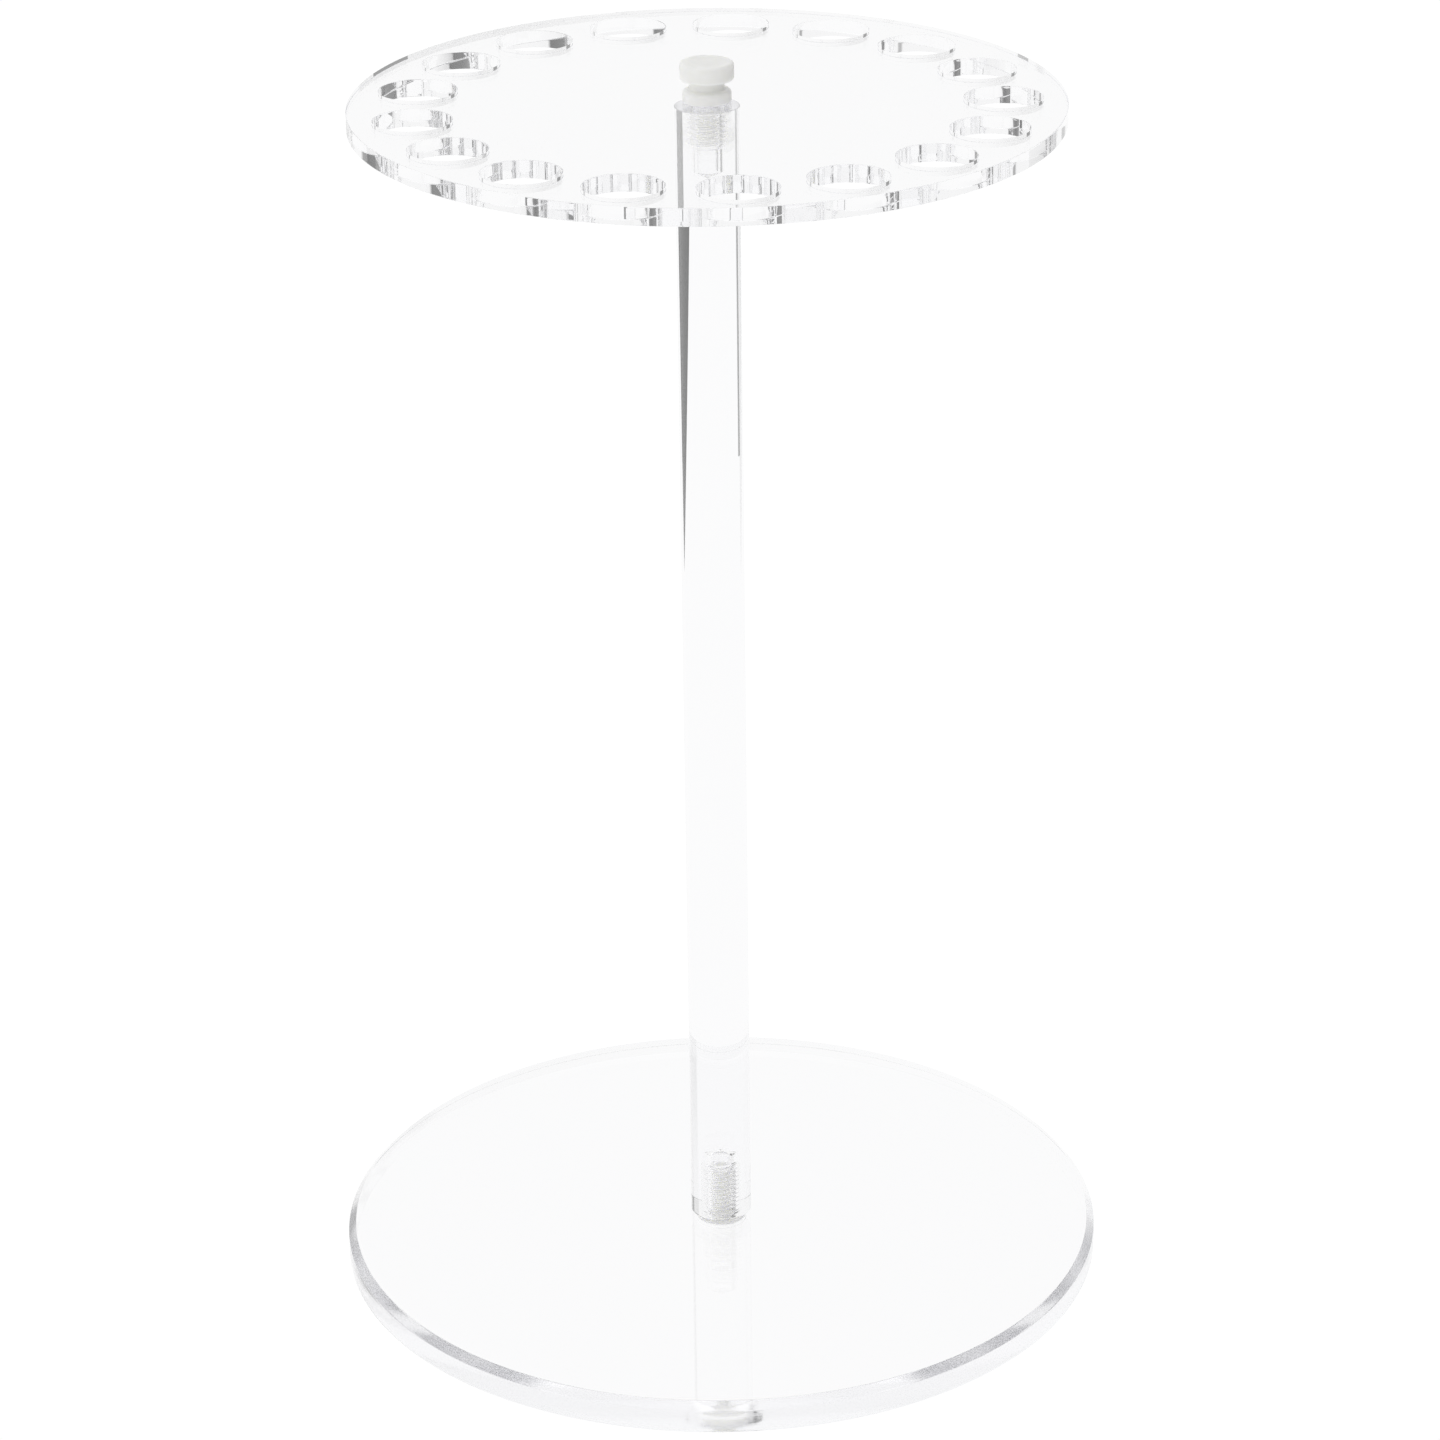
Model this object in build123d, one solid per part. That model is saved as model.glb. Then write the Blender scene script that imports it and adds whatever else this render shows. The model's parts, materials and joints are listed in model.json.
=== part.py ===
from build123d import *
import math
import os

# Round tool stand of clear acrylic, in millimetres. +Z is up.
# The origin is the centre of the foot's underside, on the axis of the rod.

# Foot
BASE_DIAMETER = 200.0
BASE_THICKNESS = 8.0
BASE_BEVEL = 2.0

# Rod
ROD_DIAMETER = 16.0
ROD_LENGTH = 302.0
ROD_EDGE_BREAK = 0.2

# Disc with the ring of tool holes
DISC_DIAMETER = 175.0
DISC_THICKNESS = 4.4
TOOL_HOLE_COUNT = 17
TOOL_HOLE_DIAMETER = 19.3
TOOL_HOLE_CIRCLE = 144.0
FIRST_TOOL_HOLE_ANGLE = 85.0

# 1/4-20 nylon thread, drawn as a plain cylinder of its outer diameter
THREAD_DIAMETER = 6.35
THREAD_TIP_CHAMFER = 0.7
TAPPED_CLEARANCE = 0.05
RUNNING_CLEARANCE = 0.09
BASE_HOLE_CLEARANCE = 0.15

# Blind tapped holes in the rod's ends, measured to the start of the drill point
TOP_TAP_DEPTH = 16.0
BOTTOM_TAP_DEPTH = 17.5
DRILL_POINT_ANGLE = 118.0

# Thumb screw: head, neck and collar above the disc
KNOB_DIAMETER = 13.3
KNOB_HEIGHT = 4.4
KNOB_EDGE_RADIUS = 0.7
KNOB_DISH_DIAMETER = 9.6
KNOB_DISH_DEPTH = 0.35
NECK_DIAMETER = 8.6
NECK_HEIGHT = 2.4
COLLAR_DIAMETER = 12.0
COLLAR_HEIGHT = 3.0
COLLAR_TOP_RADIUS = 0.9
COLLAR_BOTTOM_RADIUS = 0.3
THUMB_THREAD_LENGTH = 12.7

# Base screw: slotted head in the foot's counterbore
HEAD_DIAMETER = 12.5
HEAD_HEIGHT = 2.7
HEAD_EDGE_RADIUS = 0.9
SLOT_WIDTH = 1.6
SLOT_DEPTH = 1.2
BASE_THREAD_LENGTH = 18.5
COUNTERBORE_DIAMETER = 13.2
COUNTERBORE_DEPTH = 2.8

BASE_TOP = BASE_THICKNESS
ROD_TOP = BASE_TOP + ROD_LENGTH
DISC_TOP = ROD_TOP + DISC_THICKNESS
COLLAR_TOP = DISC_TOP + COLLAR_HEIGHT
NECK_TOP = COLLAR_TOP + NECK_HEIGHT
UP = Align.MIN
DOWN = Align.MAX


def rod_section(diameter, height, z, vertical=UP):
    """A round bar on the axis, standing on z or hanging below it."""
    centred = Cylinder(diameter / 2, height, align=(Align.CENTER, Align.CENTER, vertical))
    return Pos(0, 0, z) * centred


def rims_at(shape, z, diameter):
    """The circular edges of a shape at one height and of one diameter."""
    circles = shape.edges().filter_by(GeomType.CIRCLE)
    level = circles.filter_by(lambda edge: abs(edge.center().Z - z) < 1e-6)
    return level.filter_by(lambda edge: abs(edge.radius - diameter / 2) < 1e-6)


def drill_point(diameter, z, upward):
    """The cone that a twist drill leaves at the end of a blind hole."""
    radius = diameter / 2
    height = radius / math.tan(math.radians(DRILL_POINT_ANGLE / 2))
    if upward:
        return Pos(0, 0, z) * Cone(radius, 0, height, align=(Align.CENTER, Align.CENTER, UP))
    return Pos(0, 0, z) * Cone(0, radius, height, align=(Align.CENTER, Align.CENTER, DOWN))


def threaded_shank(length, z, upward):
    """A screw's threaded end as a plain cylinder with a chamfered tip."""
    shank = rod_section(THREAD_DIAMETER, length, z, UP if upward else DOWN)
    tip = z + length if upward else z - length
    return chamfer(rims_at(shank, tip, THREAD_DIAMETER), THREAD_TIP_CHAMFER)


def tool_hole_locations():
    """Centres of the tool holes, clockwise from the one at the back."""
    step = 360.0 / TOOL_HOLE_COUNT
    radius = TOOL_HOLE_CIRCLE / 2
    places = []
    for number in range(TOOL_HOLE_COUNT):
        angle = math.radians(FIRST_TOOL_HOLE_ANGLE - number * step)
        places.append(Location((radius * math.cos(angle), radius * math.sin(angle), 0)))
    return places


def make_base_plate():
    """Foot: bevelled round plate, drilled and counterbored from below for its screw."""
    plate = rod_section(BASE_DIAMETER, BASE_THICKNESS, 0)
    plate = chamfer(rims_at(plate, BASE_TOP, BASE_DIAMETER), BASE_BEVEL)
    plate -= rod_section(THREAD_DIAMETER + 2 * BASE_HOLE_CLEARANCE, BASE_THICKNESS, 0)
    plate -= rod_section(COUNTERBORE_DIAMETER, COUNTERBORE_DEPTH, 0)
    return plate


def make_support_rod():
    """Rod: round bar with a blind tapped hole in each end."""
    rod = rod_section(ROD_DIAMETER, ROD_LENGTH, BASE_TOP)
    ends = rims_at(rod, BASE_TOP, ROD_DIAMETER) + rims_at(rod, ROD_TOP, ROD_DIAMETER)
    rod = chamfer(ends, ROD_EDGE_BREAK)
    bore = THREAD_DIAMETER + 2 * TAPPED_CLEARANCE
    rod -= rod_section(bore, BOTTOM_TAP_DEPTH, BASE_TOP)
    rod -= drill_point(bore, BASE_TOP + BOTTOM_TAP_DEPTH, upward=True)
    rod -= rod_section(bore, TOP_TAP_DEPTH, ROD_TOP, DOWN)
    rod -= drill_point(bore, ROD_TOP - TOP_TAP_DEPTH, upward=False)
    return rod


def make_top_disc():
    """Disc: thin round plate with a ring of tool holes and a running hole on the thumb screw."""
    disc = rod_section(DISC_DIAMETER, DISC_THICKNESS, ROD_TOP)
    disc -= rod_section(THREAD_DIAMETER + 2 * RUNNING_CLEARANCE, DISC_THICKNESS, ROD_TOP)
    tool_hole = rod_section(TOOL_HOLE_DIAMETER, DISC_THICKNESS, ROD_TOP)
    disc -= [place * tool_hole for place in tool_hole_locations()]
    return disc


def make_thumb_screw():
    """Thumb screw in one piece: collar on the disc, neck, dished round head, thread below."""
    collar = rod_section(COLLAR_DIAMETER, COLLAR_HEIGHT, DISC_TOP)
    collar = fillet(rims_at(collar, COLLAR_TOP, COLLAR_DIAMETER), COLLAR_TOP_RADIUS)
    collar = fillet(rims_at(collar, DISC_TOP, COLLAR_DIAMETER), COLLAR_BOTTOM_RADIUS)
    head = rod_section(KNOB_DIAMETER, KNOB_HEIGHT, NECK_TOP)
    head_rims = rims_at(head, NECK_TOP, KNOB_DIAMETER)
    head_rims += rims_at(head, NECK_TOP + KNOB_HEIGHT, KNOB_DIAMETER)
    head = fillet(head_rims, KNOB_EDGE_RADIUS)
    head -= rod_section(KNOB_DISH_DIAMETER, KNOB_DISH_DEPTH, NECK_TOP + KNOB_HEIGHT, DOWN)
    neck = rod_section(NECK_DIAMETER, NECK_HEIGHT, COLLAR_TOP)
    return collar + neck + head + threaded_shank(THUMB_THREAD_LENGTH, DISC_TOP, upward=False)


def make_base_screw():
    """Base screw: slotted head let into the foot, thread up through the foot into the rod."""
    seat = COUNTERBORE_DEPTH
    head = rod_section(HEAD_DIAMETER, HEAD_HEIGHT, seat, DOWN)
    head = fillet(rims_at(head, seat - HEAD_HEIGHT, HEAD_DIAMETER), HEAD_EDGE_RADIUS)
    slot = Box(HEAD_DIAMETER, SLOT_WIDTH, SLOT_DEPTH, align=(Align.CENTER, Align.CENTER, UP))
    head -= Pos(0, 0, seat - HEAD_HEIGHT) * slot
    return head + threaded_shank(BASE_THREAD_LENGTH, seat, upward=True)


PARTS = {
    "base_plate": make_base_plate,
    "support_rod": make_support_rod,
    "base_screw": make_base_screw,
    "top_disc": make_top_disc,
    "thumb_screw": make_thumb_screw,
}

os.makedirs("parts", exist_ok=True)
for node, make in PARTS.items():
    export_step(make(), os.path.join("parts", node + ".step"))
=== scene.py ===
import json
import math

import bpy
import numpy as np
from mathutils import Matrix, Vector
from mathutils.geometry import delaunay_2d_cdt


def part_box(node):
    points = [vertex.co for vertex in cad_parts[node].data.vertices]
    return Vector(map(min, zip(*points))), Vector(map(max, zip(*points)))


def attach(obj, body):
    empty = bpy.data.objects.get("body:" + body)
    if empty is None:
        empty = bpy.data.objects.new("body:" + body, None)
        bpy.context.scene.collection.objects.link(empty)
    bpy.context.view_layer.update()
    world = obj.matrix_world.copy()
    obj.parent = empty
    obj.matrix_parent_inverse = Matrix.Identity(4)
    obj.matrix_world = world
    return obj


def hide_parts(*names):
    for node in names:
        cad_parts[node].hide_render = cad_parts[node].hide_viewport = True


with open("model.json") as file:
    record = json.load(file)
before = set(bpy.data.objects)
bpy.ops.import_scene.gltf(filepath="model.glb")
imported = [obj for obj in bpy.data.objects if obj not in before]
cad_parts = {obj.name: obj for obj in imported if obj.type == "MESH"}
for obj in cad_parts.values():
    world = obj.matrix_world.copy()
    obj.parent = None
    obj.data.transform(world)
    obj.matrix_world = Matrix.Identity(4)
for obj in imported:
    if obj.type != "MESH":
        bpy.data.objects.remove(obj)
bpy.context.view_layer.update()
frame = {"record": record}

# Sizes are millimetres in the recipes, and times MM they are metres, as meshes and the studio are.
MM = 0.001

# Lengths shorter than this count as none: in millimetres, and in metres for joining flat points.
TINY = 1e-6
SAME_POINT = 1e-7

# Real things touch with a film of air between them, which clear parts show.
AIR = 0.03


def size_of(node):
    """Lowest height, highest height and radius of a CAD node, in millimetres."""
    low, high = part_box(node)
    radius = max(high.x - low.x, high.y - low.y) / 2
    return low.z / MM, high.z / MM, radius / MM


BASE_LOW, BASE_TOP, BASE_R = size_of("base_plate")
ROD_LOW, ROD_TOP, ROD_R = size_of("support_rod")
DISC_LOW, DISC_TOP, DISC_R = size_of("top_disc")
THUMB_LOW, THUMB_TOP, KNOB_R = size_of("thumb_screw")
BSCREW_LOW, BSCREW_TOP, HEAD_R = size_of("base_screw")

# Thread 1/4-20, drawn with THREAD_ROWS rows of points to a turn. Half a turn along the thread has a flat
# root, then a flank, then a flat crest, given as shares. THREAD_GAP is a screw's play in a tapped hole.
PITCH = 1.27
THREAD_MAJOR_R = 3.175
THREAD_MINOR_R = 2.45
THREAD_ROWS = 16
ROOT_SHARE = 0.2
FLANK_SHARE = 0.68
THREAD_GAP = 0.07
DRILL_R = 2.58
DRILL_POINT_ANGLE = 118

# Foot
BEVEL = 2.0
BASE_EDGE = 0.15
BASE_HOLE_R = 3.32
BASE_HOLE_EDGE = 0.12
COUNTERBORE_R = 6.6
COUNTERBORE_DEPTH = 2.8
COUNTERBORE_EDGE = 0.1
COUNTERBORE_CORNER = 0.05
BASE_SEGMENTS = 512

# Rod. Each hole is drilled to its tap depth, and its thread ends sooner and runs out over TAP_RUNOUT.
ROD_EDGE = 0.07
TOP_TAP_DEPTH = 16.0
BOTTOM_TAP_DEPTH = 17.4
TOP_THREAD_DEPTH = 10.4
BOTTOM_THREAD_DEPTH = 15.2
TAP_RUNOUT = 1.6
TAP_MOUTH_R = THREAD_MAJOR_R + 0.25
DRILL_POINT = DRILL_R / math.tan(math.radians(DRILL_POINT_ANGLE / 2))
ROD_SEGMENTS = 192

# Disc
DISC_EDGE = 0.14
DISC_HOLE_R = 3.26
DISC_SEGMENTS = 720
TOOL_HOLE_SEGMENTS = 144
DISC_HOLE_SEGMENTS = 96

# Shank of both screws, a hair wider than its thread at the start, with a chamfered tip. The ring inside
# the flat tip keeps its triangles even.
SHANK_START_R = THREAD_MAJOR_R + 0.01
TIP_R = THREAD_MINOR_R - 0.1
TIP_INNER_R = THREAD_MINOR_R * 0.6
SCREW_SEGMENTS = 160

# Thumb screw. FINGER_DISH has (radius, depth below the knob's top, round) from the middle out.
FINGER_DISH = [(0.0, 0.38, 0), (2.6, 0.36, 2.0), (4.6, 0.22, 1.5), (5.2, 0.02, 0.6)]
KNOB_TOP_ROUND = 0.75
KNOB_LOW_ROUND = 0.7
NECK_R = 4.3
NECK_H = 2.4
NECK_ROUND = 0.45
COLLAR_R = 6.0
COLLAR_H = 3.0
COLLAR_TOP_ROUND = 0.95
COLLAR_LOW_ROUND = 0.3

# Base screw
HEAD_ROUND = 0.9
HEAD_EDGE = 0.15
SLOT_WIDTH = 1.6
SLOT_DEPTH = 1.2


def corner_arc(before, corner, after, radius, steps=5):
    """Points of a small round where two straight runs of a profile meet."""
    a, b, c = (np.array(p, float) for p in (before, corner, after))
    to_a, to_c = (a - b) / np.linalg.norm(a - b), (c - b) / np.linalg.norm(c - b)
    half = math.acos(max(-1.0, min(1.0, float(to_a @ to_c)))) / 2
    reach = radius / math.tan(half)
    middle = (to_a + to_c) / np.linalg.norm(to_a + to_c)
    centre = b + middle * radius / math.sin(half)
    start, end = b + to_a * reach - centre, b + to_c * reach - centre
    swing = math.atan2(start[0] * end[1] - start[1] * end[0], float(start @ end))
    points = []
    for i in range(steps + 1):
        angle = swing * i / steps
        cosine, sine = math.cos(angle), math.sin(angle)
        turned = [cosine * start[0] - sine * start[1], sine * start[0] + cosine * start[1]]
        points.append(centre + np.array(turned))
    return points


def divided(points, longest, hold=0.25):
    """The same profile with its long runs divided, and a short run kept beside each corner."""
    out = [points[0]]
    for a, b in zip(points, points[1:]):
        length = float(np.linalg.norm(b - a))
        if length > 4 * hold:
            count = max(1, math.ceil((length - 2 * hold) / longest))
            shares = [hold + (length - 2 * hold) * i / count for i in range(count + 1)]
            out += [a + (b - a) * s / length for s in shares]
        out.append(b)
    return out


def profile(corners, closed=False, longest=6.0):
    """A section as points (radius, height) from corners (radius, height, round)."""
    n = len(corners)
    points = []
    for i, (r, z, round_) in enumerate(corners):
        inner = closed or 0 < i < n - 1
        if inner and round_ > 0:
            points += corner_arc(corners[i - 1][:2], (r, z), corners[(i + 1) % n][:2], round_)
        else:
            points.append(np.array([r, z], float))
    if closed:
        points.append(points[0])
    out = divided(points, longest)
    return out[:-1] if closed else out


def thread_wave(turns):
    """Height of a thread's flank, 0 at the root and 1 at the crest, against turns along it."""
    saw = np.abs(2 * (turns - np.floor(turns)) - 1)
    return np.clip((saw - ROOT_SHARE) / FLANK_SHARE, 0, 1)


def thread_radius(angle, z, phase_z, gap=0.0):
    """Radius of the right-hand thread's surface at an angle and a height."""
    turns = (z - phase_z) / PITCH - angle / (2 * math.pi)
    return THREAD_MINOR_R + gap + (THREAD_MAJOR_R - THREAD_MINOR_R) * thread_wave(turns)


def lathe(name, points, segments, closed=False, shape=None):
    """A turned mesh. shape(angle, radius, z) may change the radius, as a thread does."""
    points = np.array(points)
    on_axis = points[:, 0] < TINY
    angles = np.linspace(0, 2 * math.pi, segments, endpoint=False)
    verts, rows = [], []
    for (r, z), pole in zip(points, on_axis):
        if pole:
            rows.append([len(verts)])
            verts.append((0, 0, z * MM))
            continue
        radii = np.full(segments, r) if shape is None else shape(angles, r, z)
        rows.append(list(range(len(verts), len(verts) + segments)))
        xs, ys = radii * np.cos(angles) * MM, radii * np.sin(angles) * MM
        verts += list(zip(xs, ys, np.full(segments, z * MM)))
    faces, planar = [], []
    pairs = list(zip(range(len(rows) - 1), range(1, len(rows))))
    if closed:
        pairs.append((len(rows) - 1, 0))
    for i, j in pairs:
        flat = abs(points[i][1] - points[j][1]) < TINY
        for k in range(segments):
            m = (k + 1) % segments
            if len(rows[i]) == 1:
                faces.append((rows[i][0], rows[j][m], rows[j][k]))
            elif len(rows[j]) == 1:
                faces.append((rows[i][k], rows[i][m], rows[j][0]))
            else:
                faces.append((rows[i][k], rows[i][m], rows[j][m], rows[j][k]))
            planar.append(flat)
    return mesh_object(name, verts, faces, planar)


def mesh_object(name, verts, faces, planar):
    """Links a mesh whose normals face out, smooth except on its planar faces."""
    mesh = bpy.data.meshes.new(name)
    mesh.from_pydata([tuple(map(float, v)) for v in verts], [], faces)
    mesh.validate()
    if signed_volume(mesh) < 0:
        mesh.flip_normals()
    mesh.polygons.foreach_set("use_smooth", [not p for p in planar])
    mesh.update()
    piece = bpy.data.objects.new(name, mesh)
    bpy.context.scene.collection.objects.link(piece)
    return piece


def signed_volume(mesh):
    """Six times the volume, negative if the faces are wound inwards."""
    mesh.calc_loop_triangles()
    co = np.zeros(len(mesh.vertices) * 3, np.float64)
    mesh.vertices.foreach_get("co", co)
    tri = np.zeros(len(mesh.loop_triangles) * 3, np.int32)
    mesh.loop_triangles.foreach_get("vertices", tri)
    p = co.reshape(-1, 3)[tri.reshape(-1, 3)]
    return float(np.einsum("ij,ij->i", p[:, 0], np.cross(p[:, 1], p[:, 2])).sum())


def thread_rows(low, high):
    """Heights close enough together to draw a thread between two levels."""
    count = math.ceil((high - low) / PITCH * THREAD_ROWS)
    return [low + (high - low) * i / count for i in range(count + 1)]


def smooth_step(x):
    """0 up to x = 0, 1 from x = 1, and a soft step between them."""
    x = min(1.0, max(0.0, x))
    return x * x * (3 - 2 * x)


# --- Foot ---------------------------------------------------------------------------------------

def make_base_plate():
    corners = [
        (BASE_HOLE_R, BASE_TOP, BASE_HOLE_EDGE),
        (BASE_R - BEVEL, BASE_TOP, BASE_EDGE),
        (BASE_R, BASE_TOP - BEVEL, BASE_EDGE),
        (BASE_R, BASE_LOW, BASE_EDGE),
        (COUNTERBORE_R, BASE_LOW, COUNTERBORE_EDGE),
        (COUNTERBORE_R, BASE_LOW + COUNTERBORE_DEPTH, COUNTERBORE_CORNER),
        (BASE_HOLE_R, BASE_LOW + COUNTERBORE_DEPTH, COUNTERBORE_EDGE),
    ]
    return lathe("base_plate_clear", profile(corners, closed=True), BASE_SEGMENTS, closed=True)


# --- Rod ----------------------------------------------------------------------------------------

def tapped_hole(mouth, bottom):
    """Wall of a tapped hole as profile points from its mouth to its drill point."""
    sense = 1 if bottom > mouth else -1
    heights = thread_rows(min(mouth, bottom), max(mouth, bottom))
    if sense < 0:
        heights.reverse()
    points = []
    for z in heights:
        flare = max(DRILL_R, TAP_MOUTH_R - abs(z - mouth))
        points.append(np.array([flare, z]))
    points.append(np.array([0.0, bottom + sense * DRILL_POINT]))
    return points


def make_support_rod():
    low, high = ROD_LOW + AIR, ROD_TOP - AIR
    bottom_end, top_end = BASE_TOP + BOTTOM_TAP_DEPTH, ROD_TOP - TOP_TAP_DEPTH
    corners = [
        (TAP_MOUTH_R, low, 0),
        (ROD_R, low, ROD_EDGE),
        (ROD_R, high, ROD_EDGE),
        (TAP_MOUTH_R, high, 0),
    ]
    outside = profile(corners, longest=8.0)
    points = tapped_hole(low, bottom_end)[::-1] + outside[1:-1] + tapped_hole(high, top_end)

    def shape(angles, r, z):
        if r > TAP_MOUTH_R:
            return np.full(len(angles), r)
        if z < (ROD_LOW + ROD_TOP) / 2:
            phase, depth_left = BSCREW_TOP, ROD_LOW + BOTTOM_THREAD_DEPTH - z
        else:
            phase, depth_left = THUMB_LOW, z - (ROD_TOP - TOP_THREAD_DEPTH)
        if depth_left < 0:
            return np.full(len(angles), r)
        cut = smooth_step(depth_left / TAP_RUNOUT)
        wall = thread_radius(angles, z, phase, THREAD_GAP)
        return np.maximum(r, DRILL_R + (wall - DRILL_R) * cut)

    return lathe("support_rod_clear", points, ROD_SEGMENTS, shape=shape)


# --- Disc ---------------------------------------------------------------------------------------

def tool_holes():
    """Centres of the tool holes and their radius, in millimetres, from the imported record."""
    centres = []
    for opening in frame["record"]["physics"]["openings"]:
        low, high = opening["box_m"]
        centres.append(((low[0] + high[0]) / 2 / MM, (low[1] + high[1]) / 2 / MM))
    pattern = next(m for m in frame["record"]["mounts"] if m["name"] == "tool_holes")
    return centres, pattern["dims"]["hole_r_mm"]


def cut_wall(radius, outward):
    """Section of a cut through the disc, from its upper face to its lower one."""
    face_r = radius - 2 * DISC_EDGE if outward else radius + 2 * DISC_EDGE
    corners = [
        (face_r, DISC_TOP, 0),
        (radius, DISC_TOP, DISC_EDGE),
        (radius, DISC_LOW, DISC_EDGE),
        (face_r, DISC_LOW, 0),
    ]
    return profile(corners, longest=2.0)[1:-1]


def add_wall(verts, faces, centre, section, outward, count):
    """Adds the wall of a rim or a hole, and returns its rows of points from the upper face down."""
    angles = np.linspace(0, 2 * math.pi, count, endpoint=False)
    rows = []
    for r, z in section:
        rows.append(list(range(len(verts), len(verts) + count)))
        for angle in angles:
            x, y = centre[0] + r * math.cos(angle), centre[1] + r * math.sin(angle)
            verts.append((x * MM, y * MM, z * MM))
    for upper, lower in zip(rows, rows[1:]):
        for k in range(count):
            m = (k + 1) % count
            quad = (upper[k], lower[k], lower[m], upper[m])
            faces.append(quad if outward else quad[::-1])
    return rows


def add_face(verts, faces, rings, spare, mouths, up):
    """Adds the disc's flat upper or lower face: even triangles between its rings of rim points."""
    index = [v for ring in rings for v in ring]
    flat = [Vector((verts[v][0], verts[v][1])) for v in index]
    edges, start = [], 0
    for ring in rings:
        n = len(ring)
        edges += [(start + k, start + (k + 1) % n) for k in range(n)]
        start += n
    points, _, triangles, origin, _, _ = delaunay_2d_cdt(flat + spare, edges, [], 0, SAME_POINT)
    new_index = {}
    for i, point in enumerate(points):
        if origin[i] and origin[i][0] < len(index):
            new_index[i] = index[origin[i][0]]
        else:
            new_index[i] = len(verts)
            verts.append((point.x, point.y, (DISC_TOP if up else DISC_LOW) * MM))
    for triangle in triangles:
        if in_a_hole(sum((points[i] for i in triangle), Vector((0, 0))) / 3, mouths):
            continue
        a, b, c = (new_index[i] for i in triangle)
        at_a, at_b, at_c = (Vector(verts[i][:2]) for i in (a, b, c))
        anticlockwise = (at_b - at_a).cross(at_c - at_a) > 0
        faces.append((a, b, c) if anticlockwise == up else (a, c, b))


def make_top_disc():
    centres, hole_r = tool_holes()
    loops = [((0.0, 0.0), DISC_R, True, DISC_SEGMENTS)]
    loops += [(c, hole_r, False, TOOL_HOLE_SEGMENTS) for c in centres]
    loops += [((0.0, 0.0), DISC_HOLE_R, False, DISC_HOLE_SEGMENTS)]
    verts, faces = [], []
    upper_rings, lower_rings, mouths = [], [], []
    for centre, radius, outward, count in loops:
        section = cut_wall(radius, outward)
        rows = add_wall(verts, faces, centre, section, outward, count)
        upper_rings.append(rows[0])
        lower_rings.append(rows[-1])
        mouths.append((centre, section[0][0] * math.cos(math.pi / count), outward))
    planar = [False] * len(faces)
    spare = lattice_points(loops)
    add_face(verts, faces, upper_rings, spare, mouths, up=True)
    add_face(verts, faces, lower_rings, spare, mouths, up=False)
    planar += [True] * (len(faces) - len(planar))
    return mesh_object("top_disc_clear", verts, faces, planar)


def in_a_hole(point, mouths):
    """True if a point, in metres, lies in a hole's mouth or outside the rim."""
    for (cx, cy), radius, outward in mouths:
        distance = math.hypot(point.x / MM - cx, point.y / MM - cy)
        if (distance > radius) == outward:
            return True
    return False


def lattice_points(loops, spacing=4.0, margin=1.2):
    """Points spread over the disc's face, clear of every rim, so that its triangles are even."""
    found = []
    steps = int(DISC_R / spacing) + 2
    for i in range(-steps, steps + 1):
        for j in range(-steps, steps + 1):
            x = (i + (j % 2) / 2) * spacing
            y = j * spacing * math.sqrt(3) / 2
            clear = True
            for (cx, cy), radius, outward, _ in loops:
                limit = radius - margin if outward else radius + margin
                if (math.hypot(x - cx, y - cy) > limit) == outward:
                    clear = False
                    break
            if clear:
                found.append(Vector((x * MM, y * MM)))
    return found


# --- Screws -------------------------------------------------------------------------------------

def threaded_end(start, tip):
    """Profile points of a threaded shank from its start to its chamfered tip."""
    heights = thread_rows(min(start, tip), max(start, tip))
    if tip < start:
        heights.reverse()
    points = [np.array([min(THREAD_MAJOR_R, TIP_R + abs(tip - z)), z]) for z in heights]
    points.append(np.array([TIP_INNER_R, tip]))
    points.append(np.array([0.0, tip]))
    return points


def screw_shape(start, tip):
    """The thread on a shank that starts under a head and ends at a tip."""
    length = abs(start - tip) - TINY

    def shape(angles, r, z):
        if abs(z - tip) > length or r < TIP_R:
            return np.full(len(angles), r)
        return np.minimum(r, thread_radius(angles, z, tip))

    return shape


def make_thumb_screw():
    collar_low = DISC_TOP + AIR
    collar_top = DISC_TOP + COLLAR_H
    neck_top = collar_top + NECK_H
    head = [(r, THUMB_TOP - depth, round_) for r, depth, round_ in FINGER_DISH]
    head += [
        (KNOB_R, THUMB_TOP, KNOB_TOP_ROUND),
        (KNOB_R, neck_top, KNOB_LOW_ROUND),
        (NECK_R, neck_top, NECK_ROUND),
        (NECK_R, collar_top, NECK_ROUND),
        (COLLAR_R, collar_top, COLLAR_TOP_ROUND),
        (COLLAR_R, collar_low, COLLAR_LOW_ROUND),
        (SHANK_START_R, collar_low, 0),
    ]
    points = profile(head, longest=1.5) + threaded_end(collar_low, THUMB_LOW)[1:]
    shape = screw_shape(collar_low, THUMB_LOW)
    return lathe("thumb_screw_nylon", points, SCREW_SEGMENTS, shape=shape)


def make_base_screw():
    seat = BASE_LOW + COUNTERBORE_DEPTH - AIR
    head = [
        (0.0, BSCREW_LOW, 0),
        (HEAD_R, BSCREW_LOW, HEAD_ROUND),
        (HEAD_R, seat, HEAD_EDGE),
        (SHANK_START_R, seat, 0),
    ]
    points = profile(head, longest=1.5) + threaded_end(seat, BSCREW_TOP)[1:]
    screw = lathe("base_screw_nylon", points, SCREW_SEGMENTS, shape=screw_shape(seat, BSCREW_TOP))
    cutter = box_object((2.2 * HEAD_R, SLOT_WIDTH, 2 * SLOT_DEPTH), (0, 0, BSCREW_LOW))
    cut = screw.modifiers.new("slot", "BOOLEAN")
    cut.operation = "DIFFERENCE"
    cut.object = cutter
    cut.solver = "EXACT"
    bake_modifiers(screw)
    bpy.data.objects.remove(cutter)
    return screw


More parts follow.
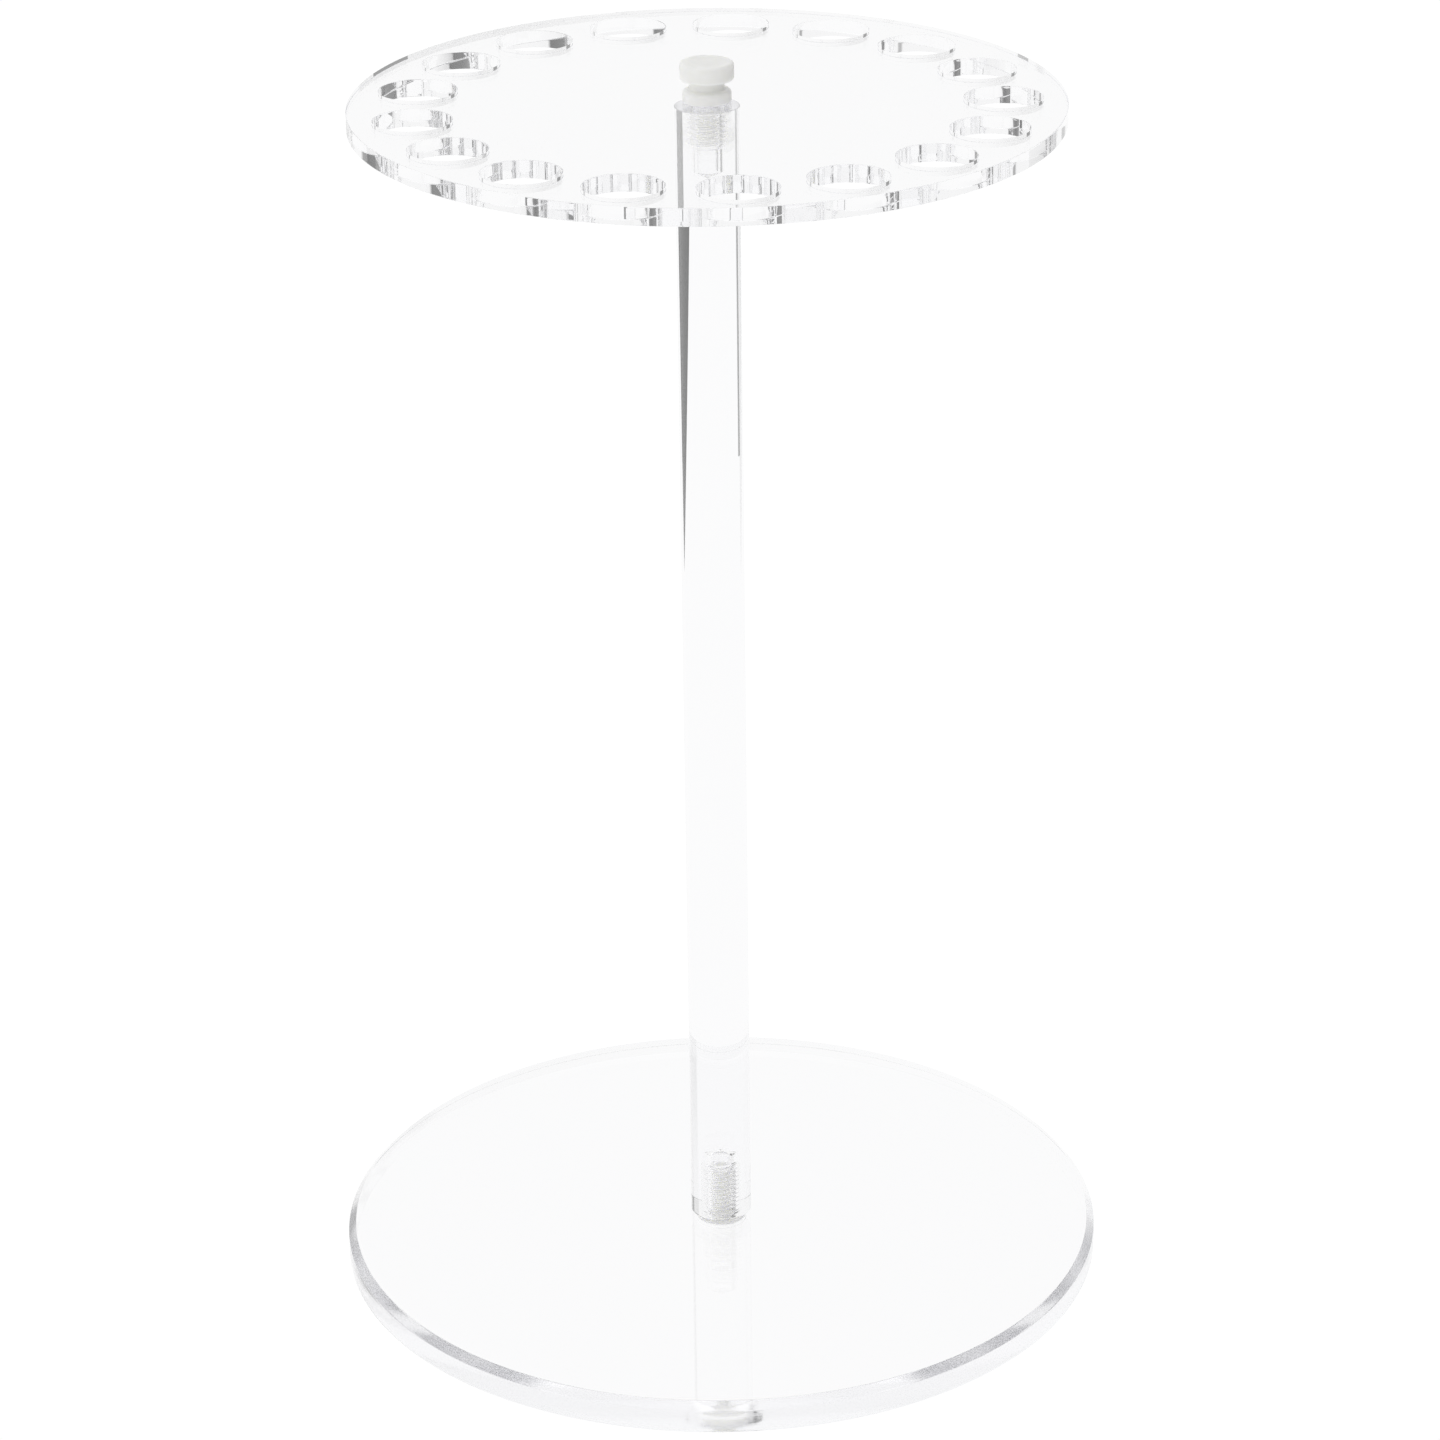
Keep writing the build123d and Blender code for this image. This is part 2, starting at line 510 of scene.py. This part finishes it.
def box_object(size, centre):
    """A plain box used only to cut with, sizes in millimetres."""
    half = [s / 2 * MM for s in size]
    verts = [
        (centre[0] * MM + x * half[0], centre[1] * MM + y * half[1], centre[2] * MM + z * half[2])
        for x in (-1, 1) for y in (-1, 1) for z in (-1, 1)
    ]
    faces = [(0, 1, 3, 2), (4, 6, 7, 5), (0, 4, 5, 1), (2, 3, 7, 6), (0, 2, 6, 4), (1, 5, 7, 3)]
    return mesh_object("cutter", verts, faces, [True] * 6)


def bake_modifiers(piece):
    """Applies the piece's modifiers to its mesh."""
    graph = bpy.context.evaluated_depsgraph_get()
    mesh = bpy.data.meshes.new_from_object(piece.evaluated_get(graph), depsgraph=graph)
    piece.modifiers.clear()
    piece.data = mesh


# --- Materials ----------------------------------------------------------------------------------

# Numbers of the finishes. The scale of a noise is how many of its features fit in a metre or, for
# spokes, in a radian round the axis. The frost of a bore is full up to BORE_WALL from the axis and gone
# from BORE_EDGE.
ACRYLIC_COLOUR = (0.985, 0.985, 0.99, 1)
ACRYLIC_INNER_COLOUR = (0.90, 0.90, 0.94, 1)
ACRYLIC_DENSITY = 1.2
ACRYLIC_IOR = 1.49
SPOKES_SCALE = 90.0
RINGS_SCALE = 1500.0
CUT_LINES_SCALE = 600.0
SMEARS_SCALE = 45.0
BORE_WALL = 3.4 * MM
BORE_EDGE = 3.6 * MM
NYLON_DARK = (0.83, 0.83, 0.81, 1)
NYLON_LIGHT = (0.88, 0.88, 0.865, 1)
NYLON_IOR = 1.53
NYLON_DEPTH = 3 * MM
CLOUD_SCALE = 260.0
GRAIN_SCALE = 4200.0
GRAIN_HEIGHT = 0.02 * MM


def node_maker(tree):
    """A short way to add a node to a tree and to set its inputs."""

    def node(kind, **inputs):
        made = tree.nodes.new(kind)
        for key, value in inputs.items():
            made.inputs[key].default_value = value
        return made

    return node


def new_material(name):
    """A node material, with short ways to add a node and to link two sockets."""
    material = bpy.data.materials.new(name)
    material.use_nodes = True
    tree = material.node_tree
    shader, output = tree.nodes["Principled BSDF"], tree.nodes["Material Output"]
    return material, node_maker(tree), tree.links.new, shader, output


def maths(node, link, operation, a, b=0.0):
    """A Math node. a and b are sockets or numbers."""
    made = node("ShaderNodeMath")
    made.operation = operation
    for socket, value in zip(made.inputs, (a, b)):
        if isinstance(value, (int, float)):
            socket.default_value = value
        else:
            link(value, socket)
    return made.outputs[0]


def scaled(node, link, vector, scale):
    """The vector times a scale on each axis."""
    made = node("ShaderNodeVectorMath")
    made.operation = "MULTIPLY"
    made.inputs[1].default_value = scale
    link(vector, made.inputs[0])
    return made.outputs[0]


def noise(node, link, vector, scale, detail, roughness):
    """Noise from 0 to 1 over a vector."""
    made = node("ShaderNodeTexNoise", Scale=scale, Detail=detail, Roughness=roughness)
    link(vector, made.inputs["Vector"])
    return made.outputs["Fac"]


def ranged(node, link, value, low, high, to_low, to_high):
    """The value carried from one range to another, and held at the ends of it."""
    made = node("ShaderNodeMapRange")
    for key, number in (("From Min", low), ("From Max", high), ("To Min", to_low), ("To Max", to_high)):
        made.inputs[key].default_value = number
    link(value, made.inputs["Value"])
    return made.outputs[0]


def acrylic(name, cut_lines, cut_roughness, cut_depth, face_roughness=0.012, bore_roughness=0.0):
    """Clear cast acrylic: polished faces, and cut walls that carry the tool's fine lines.

    cut_lines is "upright" for lines along the height, or "spokes" for lines across a bevel and
    along a rim. cut_depth is the height of the lines in metres. bore_roughness, if given, frosts
    the walls of the holes on the axis.
    """
    material, node, link, shader, output = new_material(name)
    place = node("ShaderNodeTexCoord")
    spot = place.outputs["Object"]
    split = node("ShaderNodeSeparateXYZ")
    link(place.outputs["Normal"], split.inputs[0])
    upright = maths(node, link, "ABSOLUTE", split.outputs["Z"])
    # 1 on cut walls and on the bevel, 0 on the flat faces of the sheet.
    wall = ranged(node, link, upright, 0.9, 0.8, 0.0, 1.0)

    flat_spot = scaled(node, link, spot, (1.0, 1.0, 0.0))
    if cut_lines == "spokes":
        around = node("ShaderNodeVectorMath")
        around.operation = "NORMALIZE"
        link(flat_spot, around.inputs[0])
        spokes = noise(node, link, around.outputs[0], SPOKES_SCALE, 1.5, 0.5)
        spokes = ranged(node, link, spokes, 0.0, 1.0, 0.3, 0.7)
        rings = noise(node, link, scaled(node, link, spot, (0.02, 0.02, 1.0)), RINGS_SCALE, 2.0, 0.6)
        bevel = ranged(node, link, upright, 0.2, 0.5, 0.0, 1.0)
        blend = node("ShaderNodeMix")
        link(bevel, blend.inputs["Factor"])
        link(rings, blend.inputs["A"])
        link(spokes, blend.inputs["B"])
        lines = blend.outputs["Result"]
    else:
        lines = noise(node, link, flat_spot, CUT_LINES_SCALE, 1.0, 0.5)

    smears = noise(node, link, spot, SMEARS_SCALE, 3.0, 0.6)
    haze = ranged(node, link, smears, 0.4, 0.7, face_roughness * 0.5, face_roughness)
    wall_roughness = ranged(node, link, lines, 0.35, 0.7, cut_roughness * 0.4, cut_roughness)
    roughness = node("ShaderNodeMix")
    link(wall, roughness.inputs["Factor"])
    link(haze, roughness.inputs["A"])
    link(wall_roughness, roughness.inputs["B"])
    surface = roughness.outputs["Result"]
    if bore_roughness:
        from_axis = node("ShaderNodeVectorMath")
        from_axis.operation = "LENGTH"
        link(flat_spot, from_axis.inputs[0])
        bore = ranged(node, link, from_axis.outputs["Value"], BORE_WALL, BORE_EDGE, 1.0, 0.0)
        surface = maths(node, link, "MAXIMUM", surface, maths(node, link, "MULTIPLY", bore, bore_roughness))
    link(surface, shader.inputs["Roughness"])

    bump = node("ShaderNodeBump", Distance=cut_depth)
    link(maths(node, link, "MULTIPLY", lines, wall), bump.inputs["Height"])
    link(wall, bump.inputs["Strength"])
    link(bump.outputs[0], shader.inputs["Normal"])

    shader.inputs["Base Color"].default_value = ACRYLIC_COLOUR
    shader.inputs["IOR"].default_value = ACRYLIC_IOR
    shader.inputs["Transmission Weight"].default_value = 1.0
    absorb = node("ShaderNodeVolumeAbsorption", Color=ACRYLIC_INNER_COLOUR, Density=ACRYLIC_DENSITY)
    link(absorb.outputs[0], output.inputs["Volume"])
    return material


def nylon():
    """Natural white moulded nylon: slightly see-through, with a fine satin grain."""
    material, node, link, shader, _ = new_material("white_nylon")
    spot = node("ShaderNodeTexCoord").outputs["Object"]
    cloud = noise(node, link, spot, CLOUD_SCALE, 3.0, 0.6)
    tint = node("ShaderNodeMix")
    tint.data_type = "RGBA"
    link(ranged(node, link, cloud, 0.3, 0.7, 0.0, 1.0), tint.inputs["Factor"])
    tint.inputs["A"].default_value = NYLON_DARK
    tint.inputs["B"].default_value = NYLON_LIGHT
    link(tint.outputs["Result"], shader.inputs["Base Color"])
    grain = noise(node, link, spot, GRAIN_SCALE, 2.0, 0.5)
    link(ranged(node, link, grain, 0.3, 0.7, 0.36, 0.5), shader.inputs["Roughness"])
    bump = node("ShaderNodeBump", Strength=0.5, Distance=GRAIN_HEIGHT)
    link(grain, bump.inputs["Height"])
    link(bump.outputs[0], shader.inputs["Normal"])
    shader.inputs["Subsurface Weight"].default_value = 0.8
    shader.inputs["Subsurface Radius"].default_value = (1.0, 1.0, 0.9)
    shader.inputs["Subsurface Scale"].default_value = NYLON_DEPTH
    shader.inputs["IOR"].default_value = NYLON_IOR
    return material


# --- Studio -------------------------------------------------------------------------------------

# The camera, fitted to the photograph: its place in metres, how far it looks down, and its roll.
CAMERA_PLACE = (0.0013, -1.0813, 0.6223)
LOOK_DOWN_DEGREES = 23.57
ROLL_RADIANS = -0.0124
LENS_MM = 114.88
SENSOR_MM = 36.0


def make_camera():
    data = bpy.data.cameras.new("camera")
    data.lens = LENS_MM
    data.sensor_width = SENSOR_MM
    camera = bpy.data.objects.new("camera", data)
    tilt = Matrix.Rotation(math.radians(90 - LOOK_DOWN_DEGREES), 4, "X")
    roll = Matrix.Rotation(ROLL_RADIANS, 4, "Z")
    camera.matrix_world = Matrix.Translation(CAMERA_PLACE) @ tilt @ roll
    bpy.context.scene.collection.objects.link(camera)
    bpy.context.scene.camera = camera


def flat_shape(name, outline, z):
    """A flat face of the studio, level at a height. Its outline and height are in metres."""
    mesh = bpy.data.meshes.new(name)
    mesh.from_pydata([(x, y, z) for x, y in outline], [], [tuple(range(len(outline)))])
    shape = bpy.data.objects.new(name, mesh)
    bpy.context.scene.collection.objects.link(shape)
    return shape


def polar(radius, degrees):
    """A point on the floor: degrees clockwise from straight behind the stand."""
    a = math.radians(degrees)
    return radius * math.sin(a), radius * math.cos(a)


# Brightness: floor and backdrop are a little overexposed as seen, and the floor is softer as it lights,
# as a light table is.
WHITE_SEEN = 1.02
FLOOR_LIT = 0.985

FLOOR_RADIUS = 8.0
FLOOR_SIDES = 96
FLOOR_Z = -0.0004

# Two dark cards on the floor, out of the picture. Their outlines were set until the dark patches
# in the walls of the holes fell in the right places.
FLAG_Z = 0.001
FLAG_RIGHT_SIDE = 0.40
FLAG_RIGHT = [
    (FLAG_RIGHT_SIDE, 0.26), (FLAG_RIGHT_SIDE, 0.817),
    polar(0.91, 38), polar(1.6, 38), polar(1.6, 45), polar(1.2, 62),
]
FLAG_RIGHT_LEVEL = 0.16
FLAG_LEFT = [polar(0.6, -47), polar(1.3, -47), polar(1.3, -54), polar(0.6, -54)]
FLAG_LEFT_LEVEL = 0.35


def make_glow(name, plain, special, when):
    """A surface that shines evenly white, with a special brightness for the rays that when picks out."""
    material, node, link, _, output = new_material(name)
    shine = node("ShaderNodeEmission", Color=(1, 1, 1, 1))
    picked = when(node, link, node("ShaderNodeLightPath").outputs)
    link(ranged(node, link, picked, 0.0, 1.0, plain, special), shine.inputs["Strength"])
    link(shine.outputs[0], output.inputs["Surface"])
    return material


def seen_directly(node, link, ray):
    """Rays straight from the camera."""
    return ray["Is Camera Ray"]


def bent_by_an_edge(node, link, ray):
    """Rays that a rim, a hole or the round rod has turned, not those straight through a plate."""
    turned = maths(node, link, "GREATER_THAN", ray["Glossy Depth"], 0.5)
    return maths(node, link, "MAXIMUM", turned, ray["Is Singular Ray"])


def make_floor():
    ring = [polar(FLOOR_RADIUS, 360 * k / FLOOR_SIDES) for k in range(FLOOR_SIDES)]
    floor = flat_shape("floor", ring, FLOOR_Z)
    floor.data.materials.append(make_glow("floor_white", FLOOR_LIT, WHITE_SEEN, seen_directly))


def make_flag(name, outline, level):
    """A dark card on the floor that shows only in the edges of the clear parts and in the rod."""
    flag = flat_shape(name, outline, FLAG_Z)
    flag.data.materials.append(make_glow(name + "_card", FLOOR_LIT, level, bent_by_an_edge))
    flag.visible_camera = False
    flag.visible_diffuse = False
    flag.visible_shadow = False


# Brightness of the room by degrees clockwise from straight behind the stand, in bands from the
# floor up. A dark doorway stands open on the right, and the camera side is dim higher up. Each
# band takes over from the one below between two values of a direction's upward part. The levels
# were estimated from what the clear parts show in the photograph, then set one by one.
LOW_WALL = [
    (-180, 0.80), (-150, 0.90), (-110, 0.95), (-46, 0.93), (-44.5, 0.35), (-40, 0.35), (-38.5, 0.92),
    (0, 0.94), (27, 0.94), (29.5, 0.20), (60, 0.28), (95, 0.18), (120, 0.28), (150, 0.60), (180, 0.80),
]
UPPER_BANDS = [
    (0.36, 0.44, [
        (-180, 0.85), (-110, 0.95), (40, 0.94), (43, 0.22), (74, 0.22), (78, 0.75), (120, 0.75), (180, 0.85),
    ]),
    (0.47, 0.50, [
        (-180, 0.85), (-110, 0.95), (60, 0.94), (63, 0.22), (76, 0.22), (79, 0.75), (120, 0.75), (180, 0.85),
    ]),
    (0.56, 0.60, [
        (-180, 0.50), (-150, 0.50), (-120, 0.95), (38, 0.94), (41, 0.15), (68, 0.15), (71, 0.9), (120, 0.9),
        (140, 0.50),
    ]),
    (0.80, 0.88, [(-180, 1.15)]),
]


def make_world():
    world = bpy.data.worlds.new("studio")
    bpy.context.scene.world = world
    world.use_nodes = True
    tree = world.node_tree
    tree.nodes.clear()
    node, link = node_maker(tree), tree.links.new
    split = node("ShaderNodeSeparateXYZ")
    link(node("ShaderNodeTexCoord").outputs["Generated"], split.inputs[0])
    turn = maths(node, link, "ARCTAN2", split.outputs["X"], split.outputs["Y"])
    around = ranged(node, link, turn, -math.pi, math.pi, 0.0, 1.0)

    def wall(levels):
        """Brightness round the room, from a list of (degrees, level)."""
        ramp = node("ShaderNodeValToRGB")
        link(around, ramp.inputs[0])
        stops = ramp.color_ramp.elements
        while len(stops) < len(levels):
            stops.new(0.5)
        while len(stops) > len(levels):
            stops.remove(stops[-1])
        for stop, (degrees, level) in zip(stops, levels):
            stop.position = degrees / 360 + 0.5
            stop.color = (level, level, level, 1)
        return ramp.outputs[0]

    light = wall(LOW_WALL)
    for low, high, levels in UPPER_BANDS:
        step = node("ShaderNodeMix")
        step.data_type = "RGBA"
        link(ranged(node, link, split.outputs["Z"], low, high, 0.0, 1.0), step.inputs["Factor"])
        link(light, step.inputs["A"])
        link(wall(levels), step.inputs["B"])
        light = step.outputs["Result"]
    lit = node("ShaderNodeBackground")
    link(light, lit.inputs["Color"])
    seen = node("ShaderNodeBackground", Color=(1, 1, 1, 1), Strength=WHITE_SEEN)
    mix = node("ShaderNodeMixShader")
    link(node("ShaderNodeLightPath").outputs["Is Camera Ray"], mix.inputs[0])
    link(lit.outputs[0], mix.inputs[1])
    link(seen.outputs[0], mix.inputs[2])
    link(mix.outputs[0], node("ShaderNodeOutputWorld").inputs["Surface"])


# Light is often reflected many times inside clear parts before it leaves them.
CLEAR_BOUNCES = 96


def render_settings():
    scene = bpy.context.scene
    scene.view_settings.view_transform = "Standard"
    scene.view_settings.look = "None"
    scene.cycles.max_bounces = CLEAR_BOUNCES
    scene.cycles.transmission_bounces = CLEAR_BOUNCES
    scene.cycles.glossy_bounces = CLEAR_BOUNCES
    scene.cycles.transparent_max_bounces = 32
    scene.cycles.diffuse_bounces = 16
    scene.cycles.use_denoising = True
    scene.cycles.blur_glossy = 0.0
    scene.cycles.seed = 7


# --- Assembly -----------------------------------------------------------------------------------

PIECES = [
    (make_base_plate, "base_plate", "stand", "clear_acrylic", "acrylic_plate"),
    (make_support_rod, "support_rod", "stand", "clear_acrylic", "acrylic_rod"),
    (make_base_screw, "base_screw", "stand", "white_nylon", "white_nylon"),
    (make_top_disc, "top_disc", "disc", "clear_acrylic", "acrylic_disc"),
    (make_thumb_screw, "thumb_screw", "thumb_screw", "white_nylon", "white_nylon"),
]

MATERIALS = {
    "acrylic_plate": acrylic("acrylic_plate", "spokes", 0.12, 0.008 * MM),
    "acrylic_disc": acrylic("acrylic_disc", "upright", 0.015, 0.0015 * MM),
    "acrylic_rod": acrylic("acrylic_rod", "upright", 0.002, 0.0, face_roughness=0.08, bore_roughness=0.16),
    "white_nylon": nylon(),
}
for make, part, body, slot, finish in PIECES:
    piece = make()
    piece.data.materials.append(MATERIALS[finish])
    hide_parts(part)
    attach(piece, body)

make_camera()
make_floor()
make_flag("flag_right", FLAG_RIGHT, FLAG_RIGHT_LEVEL)
make_flag("flag_left", FLAG_LEFT, FLAG_LEFT_LEVEL)
make_world()
render_settings()
